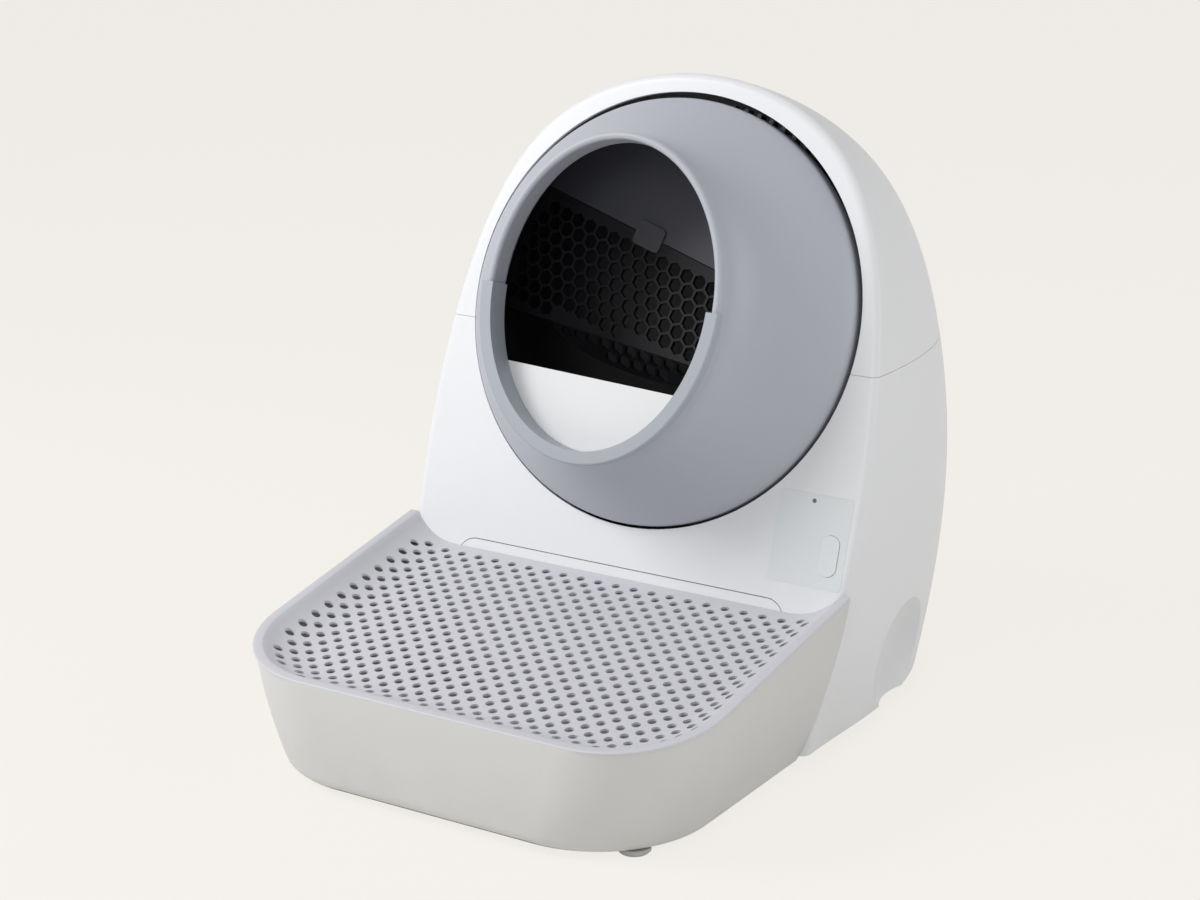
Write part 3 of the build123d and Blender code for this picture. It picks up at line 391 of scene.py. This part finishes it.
drum_joint = next(joint for joint in frame["joints"] if joint["child"] == "drum")
drum_tilt = asin(drum_joint["axis"][2])
drum_frame = Matrix.Translation(drum_joint["pos_m"]) @ Matrix.Rotation(pi / 2 - drum_tilt, 4, "X")


def mesh_object(name, vertices, faces):
    """New piece at the origin, with its place in its mesh and its faces turned outward."""
    form = bmesh.new()
    corners = [form.verts.new(vertex) for vertex in vertices]
    for face in faces:
        form.faces.new([corners[index] for index in face])
    bmesh.ops.recalc_face_normals(form, faces=form.faces)
    mesh = bpy.data.meshes.new(name)
    form.to_mesh(mesh)
    form.free()
    piece = bpy.data.objects.new(name, mesh)
    bpy.context.collection.objects.link(piece)
    return piece


def flat_plate(name, outline, low, high):
    """Closed plate between two levels over a flat outline."""
    count = len(outline)
    vertices = [(x, y, level) for level in (low, high) for x, y in outline]
    sides = [(i, (i + 1) % count, count + (i + 1) % count, count + i) for i in range(count)]
    return mesh_object(name, vertices, [range(count), range(count, 2 * count), *sides])


def arc(radius_x, radius_y, start, end):
    """Points along part of an ellipse about the origin."""
    angles = [start + (end - start) * step / ARC_STEPS for step in range(ARC_STEPS + 1)]
    return [(radius_x * cos(angle), radius_y * sin(angle)) for angle in angles]


def perforation_tree():
    """Tree that cuts a staggered grid of prisms out of a plate, wherever the grid lies over a border shape."""
    tree = bpy.data.node_groups.new("perforation", "GeometryNodeTree")
    inputs = (
        ("Geometry", "NodeSocketGeometry"),
        ("Border", "NodeSocketObject"),
        ("Centre", "NodeSocketVector"),
        ("Columns", "NodeSocketInt"),
        ("Rows", "NodeSocketInt"),
        ("Pitch", NUMBER),
        ("Row Pitch", NUMBER),
        ("Radius", NUMBER),
        ("Sides", "NodeSocketInt"),
        ("Turn", NUMBER),
        ("Depth", NUMBER),
        ("Material", "NodeSocketMaterial"),
    )
    for label, kind in inputs:
        tree.interface.new_socket(label, in_out="INPUT", socket_type=kind)
    tree.interface.new_socket("Geometry", in_out="OUTPUT", socket_type="NodeSocketGeometry")
    given = tree.nodes.new("NodeGroupInput").outputs

    # Staggered points over the plate
    columns_between = math_node(tree, "SUBTRACT", given["Columns"], 1.0)
    rows_between = math_node(tree, "SUBTRACT", given["Rows"], 1.0)
    grid = add_node(
        tree,
        "GeometryNodeMeshGrid",
        {
            "Size X": math_node(tree, "MULTIPLY", columns_between, given["Pitch"]),
            "Size Y": math_node(tree, "MULTIPLY", rows_between, given["Row Pitch"]),
            "Vertices X": given["Columns"],
            "Vertices Y": given["Rows"],
        },
    )
    index = add_node(tree, "GeometryNodeInputIndex").outputs[0]
    row = math_node(tree, "MODULO", index, given["Rows"])
    odd_row = math_node(tree, "MODULO", row, 2.0)
    half_pitch = math_node(tree, "MULTIPLY", given["Pitch"], 0.5)
    shift = add_node(tree, "ShaderNodeCombineXYZ", {"X": math_node(tree, "MULTIPLY", odd_row, half_pitch)})
    place = add_node(tree, "ShaderNodeVectorMath", {0: shift.outputs[0], 1: given["Centre"]}, operation="ADD")
    points = add_node(
        tree,
        "GeometryNodeSetPosition",
        {"Geometry": grid.outputs["Mesh"], "Offset": place.outputs[0]},
    )

    # Points that look down on the border shape get a prism
    border = add_node(tree, "GeometryNodeObjectInfo", {"Object": given["Border"]})
    position = add_node(tree, "GeometryNodeInputPosition").outputs[0]
    above = add_node(tree, "ShaderNodeVectorMath", {0: position, 1: (0, 0, PROBE_RISE)}, operation="ADD")
    inside = add_node(
        tree,
        "GeometryNodeRaycast",
        {
            "Target Geometry": border.outputs["Geometry"],
            "Source Position": above.outputs[0],
            "Ray Length": 2 * PROBE_RISE,
        },
    )
    prism = add_node(
        tree,
        "GeometryNodeMeshCylinder",
        {"Vertices": given["Sides"], "Radius": given["Radius"], "Depth": given["Depth"]},
    )
    turn = add_node(tree, "ShaderNodeCombineXYZ", {"Z": given["Turn"]})
    cells = add_node(
        tree,
        "GeometryNodeInstanceOnPoints",
        {
            "Points": points.outputs["Geometry"],
            "Selection": inside.outputs["Is Hit"],
            "Instance": prism.outputs["Mesh"],
            "Rotation": turn.outputs[0],
        },
    )

    # The prisms are cut out
    cutters = add_node(tree, "GeometryNodeRealizeInstances", {"Geometry": cells.outputs["Instances"]})
    cut = add_node(
        tree,
        "GeometryNodeMeshBoolean",
        {"Mesh 1": given["Geometry"], "Mesh 2": cutters.outputs["Geometry"]},
        operation="DIFFERENCE",
        solver="MANIFOLD",
    )
    solid = add_node(tree, "GeometryNodeRealizeInstances", {"Geometry": cut.outputs["Mesh"]})
    painted = add_node(
        tree,
        "GeometryNodeSetMaterial",
        {"Geometry": solid.outputs["Geometry"], "Material": given["Material"]},
    )
    add_node(tree, "NodeGroupOutput", {"Geometry": painted.outputs["Geometry"]})
    return tree


perforation = perforation_tree()
perforation_sockets = {
    item.name: item.identifier for item in perforation.interface.items_tree if item.in_out == "INPUT"
}


def perforate(plate, border, settings):
    """Run the perforation tree on a plate, keep its result as a plain mesh and drop the border shape."""
    modifier = plate.modifiers.new("perforation", "NODES")
    modifier.node_group = perforation
    for label, value in (("Border", border), *settings.items()):
        modifier[perforation_sockets[label]] = value
    result = plate.evaluated_get(bpy.context.evaluated_depsgraph_get())
    mesh = bpy.data.meshes.new_from_object(result)
    plate.modifiers.clear()
    plate.data = mesh
    bpy.data.objects.remove(border)


sieve_top = SEPTUM_FOOT - SIEVE_GROOVE
sieve_middle = (SIEVE_FOOT_LEFT + SIEVE_FOOT_RIGHT) / 2
foot_slope = (SIEVE_FOOT_RIGHT - SIEVE_FOOT_LEFT) / (2 * SIEVE_RADIUS)
cell_radius = (CELL_PITCH - CELL_WEB) / sqrt(3)
cell_inset = SIEVE_EDGE + cell_radius
sieve_plastic = moulded_plastic("sieve_plastic", SIEVE_CHARCOAL, 0.58, cloud=0.08, specular=0.3)


def band_outline(inset):
    """Band of the drum's round section under the septum, drawn in by an inset."""
    radius = SIEVE_RADIUS - inset
    top = asin((sieve_top - inset) / radius)
    right = asin((SIEVE_FOOT_RIGHT + inset) / radius)
    left = asin((SIEVE_FOOT_LEFT + inset) / radius)
    return arc(radius, radius, right, top) + arc(radius, radius, pi - top, pi - left)


def leaf_outline(inset):
    """Lower half of an ellipse, drawn in by an inset."""
    return arc(LEAF_HALF - inset, LEAF_DROP - inset, -pi, 0)


cell_settings = {
    "Columns": CELL_COLUMNS,
    "Rows": CELL_ROWS,
    "Pitch": CELL_PITCH,
    "Row Pitch": CELL_PITCH * sqrt(3) / 2,
    "Radius": cell_radius,
    "Sides": CELL_SIDES,
    "Turn": pi / CELL_SIDES,
    "Depth": CELL_CUT,
    "Material": sieve_plastic,
}
sieve_piece = flat_plate("sieve_grid", band_outline(0), SIEVE_FACE - SIEVE_THICK, SIEVE_FACE)
band_border = flat_plate("band_border", band_outline(cell_inset), -SIEVE_THICK, 0)
perforate(sieve_piece, band_border, {**cell_settings, "Centre": (0, BAND_ROW_SHIFT, SIEVE_FACE)})
leaf_piece = flat_plate("sieve_leaf", leaf_outline(0), 0, SIEVE_THICK)
leaf_border = flat_plate("leaf_border", leaf_outline(cell_radius), -SIEVE_THICK, 0)
perforate(leaf_piece, leaf_border, {**cell_settings, "Centre": (0, -CELL_PITCH, SIEVE_THICK / 2)})
leaf_root = Matrix.Translation(
    (LEAF_X, sieve_middle + foot_slope * LEAF_X + SIEVE_THICK / 2, SIEVE_FACE - SIEVE_THICK)
)
leaf_turn = Matrix.Rotation(atan(foot_slope), 4, "Z") @ Matrix.Rotation(LEAF_BEND, 4, "X")
leaf_piece.data.transform(leaf_root @ leaf_turn)
sieve_form = bmesh.new()
sieve_form.from_mesh(sieve_piece.data)
sieve_form.from_mesh(leaf_piece.data)
sieve_form.to_mesh(sieve_piece.data)
sieve_form.free()
bpy.data.objects.remove(leaf_piece)
sieve_piece.data.transform(drum_frame @ Matrix.Rotation(SIEVE_TURN, 4, "Z"))
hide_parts("sieve")
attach(sieve_piece, "drum")

# Step tray
# Dished lavender-white plate whose rim lies on the step box, and which lifts out for emptying.
# Litter falls through a staggered field of round holes that runs from the floor of the dish up its sides.
TRAY_LAVENDER = (0.625, 0.625, 0.66)
TRAY_LEAVE = 0.0004
TRAY_LIP = 0.002
TRAY_DEPTH = 0.024
TRAY_SLOPE = 0.053
TRAY_WALL = 0.0025
TRAY_EDGE = 0.0099
TRAY_CORNER = 0.108
TRAY_FRONT_HALF = 0.257
TRAY_ROUND = 0.0008
TRAY_CREASE = radians(40)
RIM_REAR_Y = 0.0152
RIM_REAR_Z = 0.171
RIM_FRONT_Z = 0.116
HOLE_RADIUS = 0.0046
HOLE_PITCH = 0.0212
HOLE_ROW_PITCH = 0.0109
HOLE_COLUMNS = 26
HOLE_ROWS = 34
HOLE_SIDES = 20
HOLE_CUT = 0.072
HOLE_MARGIN = 0.021
REAR_MARGIN = 0.009
DISH_STEPS = 10
SIDE_STEPS = 10

tray_low, tray_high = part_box("step_tray")
rim_angle = atan((RIM_REAR_Z - RIM_FRONT_Z) / (RIM_REAR_Y - tray_low.y))
rim_length = hypot(RIM_REAR_Z - RIM_FRONT_Z, RIM_REAR_Y - tray_low.y)
rim_frame = Matrix.Translation((0, RIM_REAR_Y, RIM_REAR_Z)) @ Matrix.Rotation(rim_angle, 4, "X")
side_angle = atan((tray_high.x - TRAY_FRONT_HALF) / rim_length)
face_angle = drum_tilt + rim_angle
dish_radius = (TRAY_SLOPE**2 + TRAY_DEPTH**2) / (2 * TRAY_DEPTH)


def tray_outline(inset, rear):
    """Right half of the tray's plan, from the middle of its front round the corner to a rear end."""
    radius = TRAY_CORNER - inset
    centre_y = inset + radius - rim_length
    centre_x = TRAY_FRONT_HALF - inset + (inset + radius) * tan(side_angle) - radius / cos(side_angle)
    front = [(centre_x * step / SIDE_STEPS, centre_y - radius) for step in range(SIDE_STEPS)]
    corner = [(centre_x + x, centre_y + y) for x, y in arc(radius, radius, -pi / 2, -side_angle)]
    start_x, start_y = corner[-1]
    run = [(rear - start_y) * (step + 1) / SIDE_STEPS for step in range(SIDE_STEPS)]
    return front + corner + [(start_x + length * tan(side_angle), start_y + length) for length in run]


def whole_outline(inset, rear):
    """Tray plan from one rear end to the other, by way of the front."""
    right = tray_outline(inset, rear)
    return [(-x, y) for x, y in reversed(right[1:])] + right


def dish_points(radius, top):
    """Inset and level along the dish's side, from a level under the rim down to its floor."""
    rise = dish_radius - TRAY_DEPTH
    steepest = acos((rise - top) / radius)
    angles = [steepest * (1 - step / DISH_STEPS) for step in range(DISH_STEPS + 1)]
    return [(TRAY_EDGE + TRAY_SLOPE - radius * sin(angle), rise - radius * cos(angle)) for angle in angles]


def smooth(piece, angle):
    """Smooth shading, with edges sharper than an angle kept crisp."""
    piece.data.shade_smooth()
    piece.data.set_sharp_from_angle(angle=angle)


# The section runs over the rim and down the dish, then back under it.
# Each of the two floor rows is closed by one face.
tray_rim = [(0, -TRAY_ROUND), (TRAY_ROUND, 0), (TRAY_EDGE - TRAY_ROUND, 0)]
tray_top = [*tray_rim, *dish_points(dish_radius, -TRAY_ROUND)]
tray_under = [*reversed(dish_points(dish_radius + TRAY_WALL, -TRAY_LIP)), (0, -TRAY_LIP)]
tray_vertices = []
for inset, level in tray_top + tray_under:
    rear_end = (level * sin(face_angle) - TRAY_LEAVE) / cos(face_angle)
    tray_vertices += [(x, y, level) for x, y in whole_outline(inset, rear_end)]
rows = len(tray_top) + len(tray_under)
columns = len(tray_vertices) // rows
last = columns - 1
row_starts = [row * columns for row in range(rows)]
floor_row = len(tray_top) - 1
floor_start, under_start = row_starts[floor_row : floor_row + 2]
tray_faces = [range(start, start + columns) for start in (floor_start, under_start)]
for row, start in enumerate(row_starts):
    following = row_starts[(row + 1) % rows]
    if row != floor_row:
        tray_faces += [(start + i, start + i + 1, following + i + 1, following + i) for i in range(last)]
tray_faces += [[start + end for start in row_starts] for end in (0, last)]
tray_faces.append((floor_start, floor_start + last, under_start + last, under_start))
tray_plastic = moulded_plastic("tray_plastic", TRAY_LAVENDER, 0.52, grain=1200.0, bump=0.08)
tray_piece = mesh_object("tray_dish", tray_vertices, tray_faces)
field_rear = -TRAY_DEPTH * tan(face_angle) - REAR_MARGIN
tray_border = flat_plate("tray_border", whole_outline(HOLE_MARGIN, field_rear), -TRAY_WALL, 0)
hole_settings = {
    "Centre": (0, -rim_length / 2, -TRAY_DEPTH / 2),
    "Columns": HOLE_COLUMNS,
    "Rows": HOLE_ROWS,
    "Pitch": HOLE_PITCH,
    "Row Pitch": HOLE_ROW_PITCH,
    "Radius": HOLE_RADIUS,
    "Sides": HOLE_SIDES,
    "Turn": 0.0,
    "Depth": HOLE_CUT,
    "Material": tray_plastic,
}
perforate(tray_piece, tray_border, hole_settings)
smooth(tray_piece, TRAY_CREASE)
tray_piece.data.transform(rim_frame)
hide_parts("step_tray")
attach(tray_piece, "tray")

# Step box and waste drawer
# The tub under the tray is warm white plastic, coloured greyer as painted shade for the dimmer light on its
# front, and darker towards the floor from dusting and painted shade. The flush drawer face behind it matches
# the housing.
# Both slide out with the grey waste bin.
# Painted shade: the step box's white is made greyer to stand in for the weaker light on its front.
STEP_SHADED_WHITE = (0.64, 0.638, 0.632)
BIN_GREY = (0.30, 0.31, 0.335)
step_box_shaded_plastic = moulded_plastic("step_box_shaded_plastic", STEP_SHADED_WHITE, 0.40, dust_and_shade=0.45)
bin_plastic = moulded_plastic("bin_plastic", BIN_GREY, 0.50, cloud=0.03)
finish_nodes(step_box_shaded_plastic, "step_box")
finish_nodes(housing_plastic, "drawer_face")
finish_nodes(bin_plastic, "waste_bin")

# Feet
# Soft pads under the housing, and pale pucks under the front of the step box.
FOOT_BLACK = (0.022, 0.022, 0.023)
PUCK_GREY = (0.46, 0.46, 0.45)
foot_rubber = moulded_plastic("foot_rubber", FOOT_BLACK, 0.78, grain=500.0, bump=0.30, cloud=0.10)
puck_rubber = moulded_plastic("puck_rubber", PUCK_GREY, 0.68, grain=500.0, bump=0.25, cloud=0.04)
finish_nodes(foot_rubber, "rubber_feet")
finish_nodes(puck_rubber, "step_feet")

# Frame inside the housing
# Dark grey mouldings screwed down on the pan: the deck with its waste chute, and the brackets on it.
FRAME_GREY = (0.075, 0.078, 0.086)
frame_plastic = moulded_plastic("frame_plastic", FRAME_GREY, 0.55, grain=700.0, bump=0.12, cloud=0.05)
finish_nodes(frame_plastic, "base_pan", "drum_cradle", "hub_bracket", "motor_bracket", "roller_brackets")

# Running gear
# Dark moulded ring gear and pinion turn the drum, which runs on ivory rollers and an ivory bush at the back.
GEAR_BLACK = (0.035, 0.035, 0.040)
BEARING_IVORY = (0.55, 0.53, 0.48)
gear_plastic = moulded_plastic("gear_plastic", GEAR_BLACK, 0.45, cloud=0.05)
bearing_plastic = moulded_plastic("bearing_plastic", BEARING_IVORY, 0.38, cloud=0.02)
finish_nodes(gear_plastic, "ring_gear", "drive_pinion", "drum_hub")
finish_nodes(bearing_plastic, "hub_bush", "support_roller_left", "support_roller_right")

# Steel parts
# Turned steel with a faint grain: shafts, screws, magnets, and the cans of the motor and its gearbox.
STEEL_GREY = (0.52, 0.52, 0.54)
steel = moulded_plastic(
    "turned_steel", STEEL_GREY, 0.30, grain=1600.0, bump=0.05, cloud=0.05, drift=0.08, metallic=1.0
)
finish_nodes(steel, "pinion_shaft", "roller_axles", "drum_screws", "pan_screws")
finish_nodes(steel, "position_magnets", "gearbox", "drive_motor")

# Power inlet
# Black socket for a low-voltage lead, let into the back of the base.
INLET_BLACK = (0.012, 0.012, 0.013)
inlet_plastic = moulded_plastic("inlet_plastic", INLET_BLACK, 0.35, cloud=0.05)
finish_nodes(inlet_plastic, "power_inlet")
